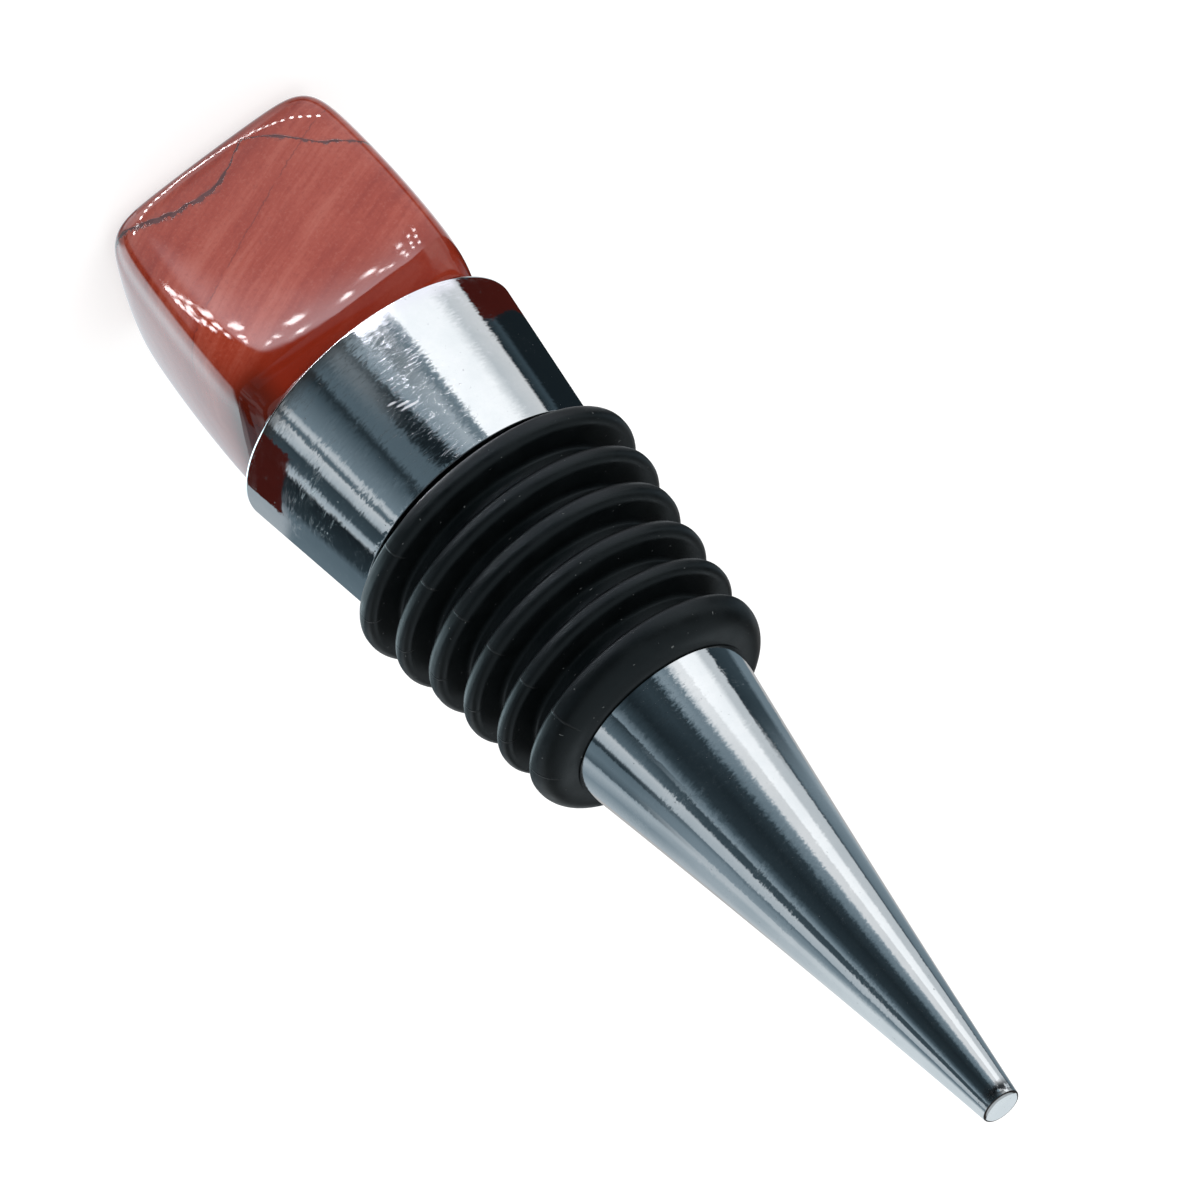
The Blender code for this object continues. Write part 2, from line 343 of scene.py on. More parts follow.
def ring_profile(index):
    """One ring: out of the groove above, round the crest, and into the groove below.

    The last ring has no groove below. It swells from its crest to the lip in a quarter of an ellipse.
    """
    crest, flat, height = RING_CREST[index], RING_FLAT[index], RING_HEIGHT[index]
    fillet = GROOVE_FILLET
    floor = RING_RADIUS[index] - GROOVE_DEPTH
    half = crest + flat + RING_FLARE
    centre = RING_RADIUS[index] - crest
    above = arc((floor + fillet, height - half - fillet), fillet, 180, 90, 6)
    upper = arc((centre, height - flat), crest, -90, 0, 12)
    if index == len(RING_RADIUS) - 1:
        angle = np.radians(np.linspace(0, 90, 24))[:, None]
        middle = np.array([[LIP_RADIUS, height + flat]])
        half_axes = np.array([[RING_RADIUS[index] - LIP_RADIUS, SLEEVE_FOOT - height - flat]])
        return np.vstack([above, upper, middle + half_axes * np.hstack([np.cos(angle), np.sin(angle)])])
    lower = arc((centre, height + flat), crest, 0, 90, 12)
    next_floor = RING_RADIUS[index + 1] - GROOVE_DEPTH
    below = arc((next_floor + fillet, height + half + fillet), fillet, -90, -180, 6)
    return np.vstack([above, upper, lower, below])


print(len(RING_RADIUS), "rings,", len(ring_profile(0)), "points to a ring")

# %% The sleeve as a piece


def make_sleeve():
    """The outside over the rings and the lip, and back up the bore, closed into a ring."""
    outside = np.vstack([ring_profile(index) for index in range(len(RING_RADIUS))])
    start = np.array([[SLEEVE_BORE, SLEEVE_TOP], [RING_RADIUS[0] - GROOVE_DEPTH, SLEEVE_TOP]])
    bore = line((SLEEVE_BORE, SLEEVE_FOOT), (SLEEVE_BORE, SLEEVE_TOP), 5)
    profile = np.vstack([start, outside, bore])
    return skin("ribbed_sleeve", carried_round(profile, COLUMNS), closed_rows=True, sharp=50)


sleeve = make_sleeve()
dress(sleeve, "sealing_sleeve")

# %% [markdown]
# Two pieces are hidden inside: the threaded stud that carries the stone, and the glue round it. The
# thread is a surface whose radius goes up and down once in each millimetre of height, and is shifted
# by one millimetre for each turn, which makes it a helix.

# %% The stud and the glue
THREAD_PITCH = 1.0 * MM
THREAD_DEPTH = 0.61 * MM
STUD_RADIUS = stud_high[0]
STUD_CHAMFER = 0.6 * MM
GLUE_GAP = 0.3 * MM              # between the stud and the glue
GLUE_DIP = 0.3 * MM              # the glue's top sinks by a quarter of this


def make_stud(rows=170, columns=64):
    """Radius = outer radius - depth x triangle wave of (height / pitch - turns), faded out at the ends."""
    angle = np.arange(columns) / columns * math.tau
    height = np.linspace(stud_low[2], stud_high[2], rows)
    a, z = np.meshgrid(angle, height)
    wave = np.abs((z / THREAD_PITCH - a / math.tau) % 1.0 * 2 - 1)
    end = np.minimum(z - stud_low[2], stud_high[2] - z)
    chamfer = np.maximum(STUD_CHAMFER - end, 0.0)
    radius = np.minimum(STUD_RADIUS - THREAD_DEPTH * wave, STUD_RADIUS - chamfer)
    points = together(radius * np.cos(a), radius * np.sin(a), z)
    poles = np.array([[0.0, 0.0, stud_low[2]], [0.0, 0.0, stud_high[2]]])
    return skin("m6_stud", points, poles=poles)


def make_glue():
    """A ring in the well round the stud, with a slightly sunken top."""
    low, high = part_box("epoxy_bond")
    outer, inner = high[0], STUD_RADIUS + GLUE_GAP
    top, floor = low[2] - RIM_Z, high[2] - RIM_Z
    share = np.linspace(0.0, 1.0, 9)
    sunk = together(inner + (outer - inner) * share, top + GLUE_DIP * share * (1 - share))
    profile = np.vstack([sunk, line((outer, floor), (inner, floor), 4), [[inner, floor]]])
    return skin("glue_ring", carried_round(profile, 96), closed_rows=True, sharp=40)


stud = make_stud()
dress(stud, "threaded_stud")
glue = make_glue()
dress(glue, "epoxy_bond")

# %% [markdown]
# A material is a tree of nodes, and most of its nodes are small sums. These helpers add one node
# at a time and return its result, so that a material below reads from top to bottom. The same
# helpers paint the world later on.

# %% Helpers for sums


class Nodes:
    """Short ways to add nodes to a tree, and to work with numbers and vectors."""

    def __init__(self, tree):
        self.tree = tree

    def add(self, kind, **settings):
        """A new node with its settings."""
        made = self.tree.nodes.new(kind)
        for key, value in settings.items():
            setattr(made, key, value)
        return made

    def feed(self, socket, value):
        """Links a result to a socket, or writes a plain value there."""
        if isinstance(value, bpy.types.NodeSocket):
            self.tree.links.new(value, socket)
        elif socket.type == "RGBA":
            socket.default_value = (*value, 1.0)
        else:
            socket.default_value = value

    def math_node(self, operation, *values, clamp=False):
        """A Math node."""
        made = self.add("ShaderNodeMath", operation=operation, use_clamp=clamp)
        for socket, value in zip(made.inputs, values):
            self.feed(socket, value)
        return made.outputs[0]

    def times(self, value, *factors):
        """The value multiplied by each factor."""
        for factor in factors:
            value = self.math_node("MULTIPLY", value, factor)
        return value

    def times_plus(self, value, factor, added):
        """The value times the factor, plus what is added."""
        return self.math_node("MULTIPLY_ADD", value, factor, added)

    def plus(self, first, second):
        """Both added."""
        return self.math_node("ADD", first, second)

    def minus(self, first, second):
        """The first less the second."""
        return self.math_node("SUBTRACT", first, second)

    def most(self, first, second):
        """The larger of the two."""
        return self.math_node("MAXIMUM", first, second)

    def gap(self, first, second):
        """How far the two are apart."""
        return self.math_node("ABSOLUTE", self.minus(first, second))

    def vector(self, operation, *values):
        """A Vector Math node."""
        made = self.add("ShaderNodeVectorMath", operation=operation)
        for socket, value in zip(made.inputs, values):
            self.feed(socket, value)
        return made.outputs["Value" if operation in ("DOT_PRODUCT", "LENGTH") else "Vector"]

    def scaled(self, vector, factor):
        """A vector times a number."""
        made = self.add("ShaderNodeVectorMath", operation="SCALE")
        self.feed(made.inputs[0], vector)
        self.feed(made.inputs["Scale"], factor)
        return made.outputs[0]

    def join(self, x, y, z):
        """Three numbers as one vector."""
        made = self.add("ShaderNodeCombineXYZ")
        for socket, value in zip(made.inputs, (x, y, z)):
            self.feed(socket, value)
        return made.outputs[0]

    def split(self, vector):
        """A vector's three numbers."""
        made = self.add("ShaderNodeSeparateXYZ")
        self.feed(made.inputs[0], vector)
        return made.outputs

    def degrees_round(self, x, y):
        """Degrees round the stopper's axis, 0 on the camera's side and positive to -X."""
        angle = self.math_node("ARCTAN2", self.times(x, -1.0), self.times(y, -1.0))
        return self.times(angle, math.degrees(1))


print("helpers for sums ready")

# %% Helpers for fades, colours and bumps


class Paint(Nodes):
    """Short ways to turn numbers into fades, colours and bumps."""

    def range(self, value, low, high, to_low=0.0, to_high=1.0, smooth=True):
        """Maps low..high to to_low..to_high, and stays within it."""
        kind = "SMOOTHSTEP" if smooth else "LINEAR"
        made = self.add("ShaderNodeMapRange", interpolation_type=kind)
        for socket, number in zip(made.inputs, (value, low, high, to_low, to_high)):
            self.feed(socket, number)
        return made.outputs[0]

    def near(self, value, place, reach, to_far=0.0, to_near=1.0):
        """to_near where the value is at the place, fading to to_far at the reach from it."""
        return self.range(self.gap(value, place), 0.0, reach, to_near, to_far)

    def ramp(self, value, stops):
        """Colours by value. Each stop is (value, colour)."""
        made = self.add("ShaderNodeValToRGB")
        for _ in stops[2:]:
            made.color_ramp.elements.new(0.5)
        for element, (at, _) in zip(made.color_ramp.elements, stops):
            element.position = at
        for element, (_, colour) in zip(made.color_ramp.elements, stops):
            element.color = (*colour, 1.0)
        self.feed(made.inputs[0], value)
        return made.outputs[0]

    def mix(self, share, first, second):
        """Mixes two colours."""
        made = self.add("ShaderNodeMix", data_type="RGBA")
        self.feed(made.inputs["Factor"], share)
        self.feed(made.inputs[6], first)
        self.feed(made.inputs[7], second)
        return made.outputs[2]

    def bump(self, height, distance, strength=1.0):
        """Shades the surface as if it rose by height times distance."""
        made = self.add("ShaderNodeBump")
        self.feed(made.inputs["Height"], height)
        made.inputs["Distance"].default_value = distance
        made.inputs["Strength"].default_value = strength
        return made.outputs[0]


print("helpers for paint ready")

# %% [markdown]
# A finish is a material: one Principled shader, fed by patterns. The patterns are laid out in
# millimetres of the piece, which is easier to think in than metres, and they sit still in it when
# the piece moves.

# %% A finish


class Finish(Paint):
    """A material with one Principled shader, whose patterns are in millimetres of the object."""

    def __init__(self, name, **shader_values):
        self.material = bpy.data.materials.new(name)
        self.material.use_nodes = True
        super().__init__(self.material.node_tree)
        self.shader = self.tree.nodes["Principled BSDF"]
        self.give(**shader_values)
        place = self.add("ShaderNodeTexCoord").outputs["Object"]
        self.grid = self.scaled(place, 1 / MM)

    def noise(self, scale, detail, rough=0.5, place=None):
        """Cloudy noise from 0 to 1, about 0.5."""
        made = self.add("ShaderNodeTexNoise")
        self.feed(made.inputs["Vector"], self.grid if place is None else place)
        for socket, value in (("Scale", scale), ("Detail", detail), ("Roughness", rough)):
            made.inputs[socket].default_value = value
        return made.outputs["Fac"]

    def give(self, **results):
        """Feeds the shader's sockets."""
        for socket, value in results.items():
            self.feed(self.shader.inputs[socket.replace("_", " ")], value)
        return self

    def only_glow(self, colour, strength=1.0):
        """Gives off light in place of the shader."""
        glow = self.add("ShaderNodeEmission")
        self.feed(glow.inputs["Color"], colour)
        self.feed(glow.inputs["Strength"], strength)
        self.feed(self.tree.nodes["Material Output"].inputs["Surface"], glow.outputs[0])
        return self

    def put_on(self, *objects):
        """Makes this the only material of the objects."""
        for made in objects:
            made.data.materials.clear()
            made.data.materials.append(self.material)


print("helper for finishes ready")

# %% [markdown]
# Red jasper is fine quartz coloured by iron. It has soft parallel bands, laid down before the stone
# was cut, so the bands run through the whole stone and come out on every face. They are noise that
# is long along the bands and short across them. A dark vein crosses the stone near its end. It is a
# thin sheet, also through the whole stone, whose height follows a curve along X. A second crack, as
# thin as a hair, runs along the bands. Near the collar's rim, shade is painted into the colour as a
# deeper red, strongest towards +X and in one lower corner.

# %% The vein's course
BAND_TILT = math.radians(21.8)               # of the bands, from X towards Z
VEIN_REACH = 12.0                            # the vein's curve runs from -12 to 12 mm of X
VEIN = (                                     # where the vein crosses the front face, X and Z in mm
    (-12.0, 7.9), (-10.9, 7.2), (-9.3, 6.1), (-7.5, 3.8), (-6.3, 2.7), (-5.0, 1.8), (-4.2, 2.3),
    (-3.2, 3.1), (-1.3, 3.95), (0.4, 3.8), (2.3, 3.6), (4.2, 2.8), (5.8, 2.0), (8.0, 1.4), (12.0, 2.5),
)
VEIN_WIDTH = (                               # half its width in mm, along the same X
    (-12.0, 0.20), (-7.2, 0.24), (-6.2, 0.13), (-3.0, 0.12), (-2.0, 0.30), (5.0, 0.34), (12.0, 0.20),
)


def curve_along(finish, x, points, highest):
    """A number that follows the points (X, number) with straight lines between them."""
    made = finish.add("ShaderNodeFloatCurve")
    curve = made.mapping.curves[0]
    for _ in points[2:]:
        curve.points.new(0.5, 0.5)
    for point, (across, number) in zip(curve.points, points):
        point.location = ((across / VEIN_REACH + 1) / 2, number / highest)
        point.handle_type = "VECTOR"
    made.mapping.update()
    finish.feed(made.inputs["Value"], finish.range(x, -VEIN_REACH, VEIN_REACH, smooth=False))
    return finish.times(made.outputs[0], highest)


print("the vein follows", len(VEIN), "points")

# %% The stone's colours


def jasper_bands(made):
    """The stone's own colour, from bands, clouds and grains."""
    along = made.vector("DOT_PRODUCT", made.grid, (math.cos(BAND_TILT), 0.0, math.sin(BAND_TILT)))
    across = made.vector("DOT_PRODUCT", made.grid, (-math.sin(BAND_TILT), 0.0, math.cos(BAND_TILT)))
    depth = made.split(made.grid)[1]
    lain = made.join(along, depth, made.plus(across, made.noise(0.13, 2.0)))
    wide = made.noise(1.0, 2.0, place=made.vector("MULTIPLY", lain, (0.045, 0.08, 0.50)))
    fine = made.noise(1.0, 4.0, 0.65, made.vector("MULTIPLY", lain, (0.13, 0.22, 2.1)))
    cloud = made.noise(0.22, 4.0, 0.6)
    grain = made.noise(3.4, 3.0, 0.65)
    tone = made.times_plus(fine, 0.33, made.times(wide, 0.47))
    tone = made.times_plus(cloud, 0.20, tone)
    colour = made.ramp(tone, [
        (0.34, (0.255, 0.024, 0.011)),
        (0.44, (0.315, 0.040, 0.020)),
        (0.50, (0.350, 0.053, 0.029)),
        (0.56, (0.385, 0.072, 0.044)),
        (0.66, (0.430, 0.105, 0.072)),
    ])
    colour = made.mix(made.range(grain, 0.52, 0.72, 0.0, 0.28), colour, (0.46, 0.14, 0.10))
    return made.mix(made.range(grain, 0.48, 0.30, 0.0, 0.30), colour, (0.20, 0.020, 0.012)), cloud


print("bands tilt by", round(math.degrees(BAND_TILT), 1), "degrees")

# %% Jasper


def jasper():
    """Banded red stone with a dark vein, polished, with painted shade that darkens it towards the collar.
    """
    made = Finish("polished_jasper", Roughness=0.05, IOR=1.54)
    colour, cloud = jasper_bands(made)
    x, _, z = made.split(made.grid)

    # The vein: a dark core whose width changes, and a faint halo round it
    wobble = made.minus(made.noise(1.1, 4.0, 0.7), 0.5)
    ragged = made.times_plus(wobble, 0.9, curve_along(made, x, VEIN, 10.0))
    off = made.gap(z, ragged)
    patchy = made.range(made.noise(2.2, 3.0, 0.6), 0.3, 0.7, 0.35, 1.3)
    width = made.times(curve_along(made, x, VEIN_WIDTH, 1.0), patchy)
    core = made.range(off, made.times(width, 0.45), width, 1.0, 0.0)
    halo = made.range(off, width, made.times(width, 2.2), 0.30, 0.0)
    colour = made.mix(halo, colour, (0.17, 0.040, 0.035))
    dark = made.mix(made.range(wobble, -0.1, 0.1), (0.045, 0.014, 0.015), (0.088, 0.034, 0.035))
    colour = made.mix(made.times(core, 0.92), colour, dark)

    # The hair crack, and painted shade towards the collar's rim and in one lower corner
    crack = made.times_plus(wobble, 0.7, made.times_plus(x, 0.475, 9.0))
    crack = made.near(z, crack, 0.10, 0.0, 0.55)
    crack = made.times(crack, made.range(made.noise(0.45, 2.0), 0.36, 0.50))
    colour = made.mix(crack, colour, (0.10, 0.020, 0.020))
    # Painted shade: the red is darkened towards the collar's rim, more towards +X
    painted_shade_near_rim = made.times(made.range(z, 14.6, 19.0, 0.0, 0.95), made.range(x, -9.0, 4.0, 0.75, 1.0))
    colour = made.mix(painted_shade_near_rim, colour, (0.19, 0.016, 0.0055))
    # Painted shade in the stone's lower corner towards +X, beside the rim
    corner = made.times(made.range(x, 4.2, 6.5), made.range(z, 17.0, 19.0, 0.0, 0.85))
    colour = made.mix(corner, colour, (0.075, 0.010, 0.005))

    # The polish is a little duller in the vein, which lies a hair lower
    rough = made.times_plus(core, 0.05, made.range(cloud, 0.3, 0.7, 0.035, 0.06))
    skin_height = made.times_plus(core, -0.6, made.noise(0.25, 2.0))
    return made.give(Base_Color=colour, Roughness=rough, Normal=made.bump(skin_height, 0.02 * MM))


jasper().put_on(stone)
print("jasper on", stone.name)

# %% [markdown]
# Chrome shows almost nothing of its own: what is seen is the room. Its own marks are the polishing
# streaks, which run round the casting. Each streak tilts the surface a little to the side, and that
# gives the mirrored panels their ragged edges. So a fine noise, long round the axis and short along
# it, tips the normal sideways. Handling adds haze, a few nicks, burrs at the collar's foot, and a
# dark crust at one side of the tip.

# %% Wear on the chrome
STREAK_TILT = 0.10           # how far a streak tips the normal
NICKS = (                    # on the collar: angle round the axis, mm from the rim, half length in mm
    (-92.0, 6.4, 0.45),
    (-95.0, 6.95, 0.65),
    (-97.0, 7.4, 0.75),
)
NICK_SLANT = math.radians(-12)
NICK_WIDTH = 0.15            # half of it, in mm
COLLAR_MIDDLE_RADIUS = (RIM_RADIUS + COLLAR_FOOT_RADIUS) / 2 / MM
WORN_ANGLE, WORN_REACH = math.radians(-100), math.radians(36)    # the side that was handled most
CRUST_ANGLE, CRUST_REACH = math.radians(-118), math.radians(75)  # at the tip


def nick(made, angle, down, place, half_length):
    """A slanting scratch on the collar: 1 inside, 0 outside."""
    turn, at = place
    across = made.times(made.minus(angle, math.radians(turn)), COLLAR_MIDDLE_RADIUS)
    along = made.minus(down, at)
    run = made.times_plus(across, math.cos(NICK_SLANT), made.times(along, math.sin(NICK_SLANT)))
    rise = made.times_plus(across, -math.sin(NICK_SLANT), made.times(along, math.cos(NICK_SLANT)))
    return made.times(made.near(run, 0.0, half_length * 1.3), made.near(rise, 0.0, NICK_WIDTH))


print(len(NICKS), "nicks on the collar")

# %% Chrome


def chrome():
    """Chrome plate with polishing streaks, haze, nicks, burrs and a crust at the tip."""
    made = Finish("chrome_plate", Metallic=1.0, Roughness=0.05)
    x, y, z = made.split(made.grid)
    angle = made.math_node("ARCTAN2", y, x)
    down = made.minus(z, RIM_Z / MM)

    # Streaks: noise that is long round the axis and short along it tips the normal sideways
    on_side = made.join(made.math_node("COSINE", angle), made.math_node("SINE", angle), 0.0)
    ring = made.scaled(on_side, 10.0)
    fine_place = made.vector("MULTIPLY_ADD", (0.0, 0.0, 5.5), made.grid, made.scaled(ring, 1.5))
    slow_place = made.vector("MULTIPLY_ADD", (0.0, 0.0, 0.55), made.grid, made.scaled(ring, 0.5))
    fine = made.noise(1.0, 4.0, 0.7, fine_place)
    slow = made.noise(1.0, 3.0, 0.6, slow_place)
    blotch = made.noise(0.30, 4.0, 0.65)
    worn = made.near(angle, WORN_ANGLE, WORN_REACH)
    grain = made.noise(5.0, 2.0, 0.6)
    strength = made.most(made.range(blotch, 0.44, 0.62, 0.22, 0.9), worn)
    tilt = made.times(made.minus(fine, 0.5), strength)
    tilt = made.times_plus(made.minus(slow, 0.5), 0.08, tilt)
    frost = made.times(worn, made.range(blotch, 0.42, 0.60, 0.10, 0.42))
    tilt = made.times_plus(made.minus(grain, 0.5), frost, tilt)

    # Burrs along the collar's foot, and the crust at the tip
    foot = made.near(down, (COLLAR_LENGTH - RIM_EDGE) / MM, 0.45)
    burr = made.times(foot, made.range(made.noise(4.0, 2.0, 0.7), 0.48, 0.60))
    tip = made.near(z, TIP_Z / MM - 0.8, 0.85)
    tip = made.times(tip, made.near(angle, CRUST_ANGLE, CRUST_REACH, 0.0, 1.3))
    crust = made.times(tip, made.range(made.noise(1.9, 3.0, 0.6), 0.40, 0.50))
    lifted = made.times(made.minus(slow, 0.42), 3.5)
    tilt = made.times_plus(burr, lifted, tilt)
    tilt = made.times(tilt, STREAK_TILT * 2)
    side = made.vector("CROSS_PRODUCT", (0.0, 0.0, 1.0), on_side)
    plain = made.add("ShaderNodeNewGeometry").outputs["Normal"]
    normal = made.vector("NORMALIZE", made.vector("ADD", plain, made.scaled(side, tilt)))

    # Haze, pits and nicks make the mirror dull, and pits and crust make it dark
    haze = made.times(
        made.range(made.noise(0.9, 5.0, 0.75, fine_place), 0.50, 0.66),
        made.most(made.range(blotch, 0.46, 0.62), worn),
        made.range(down, 0.5, 6.5, 0.25, 1.0),
    )
    pits = made.range(made.noise(3.2, 2.0, 0.5), 0.71, 0.77)
    marks = 0.0
    for turn, at, half_length in NICKS:
        marks = made.most(marks, nick(made, angle, down, (turn, at), half_length))
    rough = made.times_plus(haze, 0.16, made.range(fine, 0.35, 0.75, 0.03, 0.09))
    rough = made.times_plus(made.most(pits, crust), 0.22, rough)
    rough = made.math_node("MULTIPLY_ADD", marks, 0.55, rough, clamp=True)
    colour = made.mix(made.range(blotch, 0.3, 0.7), (0.80, 0.83, 0.85), (0.865, 0.885, 0.90))
    colour = made.mix(made.times(pits, 0.4), colour, (0.30, 0.32, 0.34))
    colour = made.mix(made.times(crust, 0.85), colour, (0.05, 0.055, 0.06))
    colour = made.mix(marks, colour, (0.98, 0.98, 0.98))
    return made.give(Base_Color=colour, Roughness=rough, Normal=normal)


chrome().put_on(casting)
print("chrome on", casting.name)

# %% [markdown]
# The rubber is black with a satin skin. Where the mould closed there is a thin line across each
# ring, and dust sticks to it. The skin is a faint bump, the line and the dust are patterns.

# %% Rubber
SEAM_ANGLES = (math.radians(-57), math.radians(-22))       # of the mould lines round the axis, from +X


def rubber():
    """Satin black rubber with mould lines and dust."""
    made = Finish("black_rubber", Roughness=0.4, IOR=1.40, Specular_Tint=(0.79, 0.93, 1.0))
    x, y, z = made.split(made.grid)
    out = made.vector("LENGTH", made.join(x, y, 0.0))
    down = made.minus(z, (RIM_Z + RING_HEIGHT[0]) / MM)
    crest = made.times_plus(down, -0.125, RING_RADIUS[0] / MM)
    on_crest = made.range(made.minus(out, crest), -1.1, -0.5)
    seam = 0.0
    for angle in SEAM_ANGLES:
        off = made.vector("DOT_PRODUCT", made.grid, (math.sin(angle), -math.cos(angle), 0.0))
        seam = made.most(seam, made.near(off, 0.0, 0.13))
    seam = made.times(seam, on_crest)
    grain = made.noise(7.0, 4.0, 0.65)
    cloud = made.noise(0.5, 3.0, 0.55)
    dust = made.range(made.noise(2.9, 1.0, 0.3), 0.79, 0.81)
    lint = made.noise(1.7, 1.0, place=made.vector("MULTIPLY", made.grid, (1.2, 1.2, 3.6)))
    dust = made.most(dust, made.range(lint, 0.79, 0.80))
    colour = made.mix(made.range(cloud, 0.3, 0.7), (0.0018, 0.0027, 0.0030), (0.0034, 0.0047, 0.0051))
    colour = made.mix(made.times(dust, 0.35), colour, (0.26, 0.28, 0.28))
    colour = made.mix(made.times(seam, 0.10), colour, (0.10, 0.10, 0.10))
    rough = made.times_plus(dust, 0.3, made.range(cloud, 0.3, 0.7, 0.36, 0.46))
    rise = made.times_plus(grain, 0.10, made.times_plus(seam, 1.2, dust))
    return made.give(Base_Color=colour, Roughness=rough, Normal=made.bump(rise, 0.05 * MM, 0.7))


rubber().put_on(sleeve)
print("rubber on", sleeve.name)

# %% [markdown]
# The stud and the glue can't be seen once the stopper is put together, but they are still made as
# what they are: zinc on steel with its cloudy crystals, and clear glue with a few bubbles.

# %% Stud and glue


def zinc():
    """Zinc-plated steel."""
    made = Finish("zinc_plated_steel", Metallic=1.0, Roughness=0.35)
    spangle = made.noise(2.0, 3.0, 0.6)
    colour = made.ramp(spangle, [
        (0.30, (0.45, 0.44, 0.40)),
        (0.55, (0.56, 0.56, 0.53)),
        (0.75, (0.62, 0.60, 0.52)),
    ])
    return made.give(Base_Color=colour, Roughness=made.range(spangle, 0.3, 0.7, 0.25, 0.45))


def epoxy():
    """Cured clear glue, slightly yellow."""
    made = Finish("clear_epoxy", Roughness=0.2, IOR=1.5)
    bubbles = made.range(made.noise(3.0, 1.0), 0.68, 0.74)
    colour = made.mix(bubbles, (0.60, 0.56, 0.42), (0.78, 0.76, 0.68))
    return made.give(Base_Color=colour, Normal=made.bump(bubbles, 0.05 * MM, 0.5))


zinc().put_on(stud)
epoxy().put_on(glue)
print("hidden pieces finished")

# %% [markdown]
# The floor is white and plain. The camera sees it at full white with the stopper's soft shadow on
# it. Mirrors don't see the floor but the studio that the world paints around the stopper, so that
# the panels in the chrome can be placed one by one.

# %% Floor
FLOOR_SIZE = 12.0                    # m from the middle to each side
FLOOR_WHITE, FLOOR_GLOW = 0.45, 0.70    # the share of light it throws back, and what it gives off


def plain_mesh(name, vertices, faces):
    """A mesh object from lists, for what isn't part of the stopper."""
    mesh = bpy.data.meshes.new(name)
    mesh.from_pydata(np.asarray(vertices).tolist(), [], faces)
    made = put_in_scene(name, mesh)
    return made


def make_floor():
    """A wide square, as a grid of two by two faces."""
    across = np.linspace(-FLOOR_SIZE, FLOOR_SIZE, 3)
    points = together(*np.meshgrid(across, across), 0.0).reshape(-1, 3)
    made = plain_mesh("floor", points, [(i, i + 1, i + 4, i + 3) for i in (0, 1, 3, 4)])
    made.visible_glossy = False
    return made


def floor_paint():
    """White where lit. A part of the white is given off, which keeps the shadow pale."""
    made = Finish("white_floor", Roughness=1.0, Specular_IOR_Level=0.0, Base_Color=(FLOOR_WHITE,) * 3)
    paths = made.add("ShaderNodeLightPath")
    glow = made.add("ShaderNodeEmission")
    made.feed(glow.inputs["Color"], (1.0, 1.0, 1.0))
    made.feed(glow.inputs["Strength"], made.times(paths.outputs["Is Camera Ray"], FLOOR_GLOW))
    both = made.add("ShaderNodeAddShader")
    made.feed(both.inputs[0], made.shader.outputs[0])
    made.feed(both.inputs[1], glow.outputs[0])
    made.feed(made.tree.nodes["Material Output"].inputs["Surface"], both.outputs[0])
    return made


floor = make_floor()
floor_paint().put_on(floor)
print("floor", FLOOR_SIZE * 2, "m wide")

# %% [markdown]
# Chrome shows the studio, so the studio is built for it: a drum of paper stands round the stopper,
# painted with tall panels, white, grey and black. It is near enough for the collar to mirror its
# foot and the cone a band higher up, so each gets panels of its own. A panel is named by where it
# shows, as a share of the radius to the side, because that is how it was read from the photograph.
# The law of reflection turns the share into a place on the drum. Only mirrors see the drum.

# %% Rows of panels
DRUM_RADIUS = 150.0                  # mm
DRUM_TOP = 120.0                     # mm above the floor
DRUM_FOOT, FOOT_DIP = 4.2, 2.5       # mm
DROP = 32.0 / 147.0 ** 2             # a ring of the chrome mirrors this times the squared angle lower
COLLAR_LEAN, CONE_LEAN = math.radians(7.24), math.radians(8.4)    # of their sides, from upright
COLLAR_AT, FOOT_AT, CONE_AT = 11.7, 7.0, 4.9     # radius in mm where each row of panels was read
CONE_FROM = (20.0, 28.0)             # level in mm over which the collar's panels give way to the cone's
FOOT_FROM = (53.0, 45.0)             # and, downwards, the cone's to those of its foot
DARK_FROM = (84.0, 100.0)
COLLAR_PANELS = (                    # share of the radius, and how bright the chrome looks there
    (-0.98, 0.14), (-0.90, 0.12), (-0.86, 0.03), (-0.735, 0.012), (-0.725, 0.42), (-0.69, 0.34),
    (-0.68, 0.06), (-0.60, 0.04), (-0.58, 0.40), (-0.525, 0.52), (-0.515, 0.10), (-0.49, 0.12),
    (-0.475, 0.50), (-0.45, 0.46), (-0.435, 0.20), (-0.28, 0.08), (-0.215, 0.02), (-0.17, 0.11),
    (-0.05, 0.10), (-0.01, 0.014), (0.095, 0.014), (0.125, 0.24), (0.28, 0.38), (0.345, 0.14),
    (0.38, 0.26), (0.395, 0.98), (0.62, 0.92), (0.70, 0.52), (0.80, 0.60), (0.81, 0.02),
    (0.86, 0.055), (0.88, 0.012),
)
CONE_FOOT_PANELS = (                 # just below the sleeve
    (-0.98, 0.38), (-0.90, 0.22), (-0.82, 0.38), (-0.79, 0.30), (-0.78, 0.08), (-0.71, 0.15),
    (-0.64, 0.13), (-0.63, 0.03), (-0.60, 0.04), (-0.58, 0.38), (-0.49, 0.50), (-0.47, 0.13),
    (-0.38, 0.07), (-0.32, 0.03), (-0.31, 0.22), (-0.22, 0.05), (-0.10, 0.016),
    (0.09, 0.04), (0.19, 0.03), (0.21, 0.10), (0.26, 0.25), (0.35, 0.17), (0.37, 0.45),
    (0.42, 0.76), (0.49, 0.78), (0.50, 0.96), (0.645, 0.90), (0.70, 0.52), (0.765, 0.51),
    (0.775, 0.03), (0.91, 0.05), (0.94, 0.18),
)
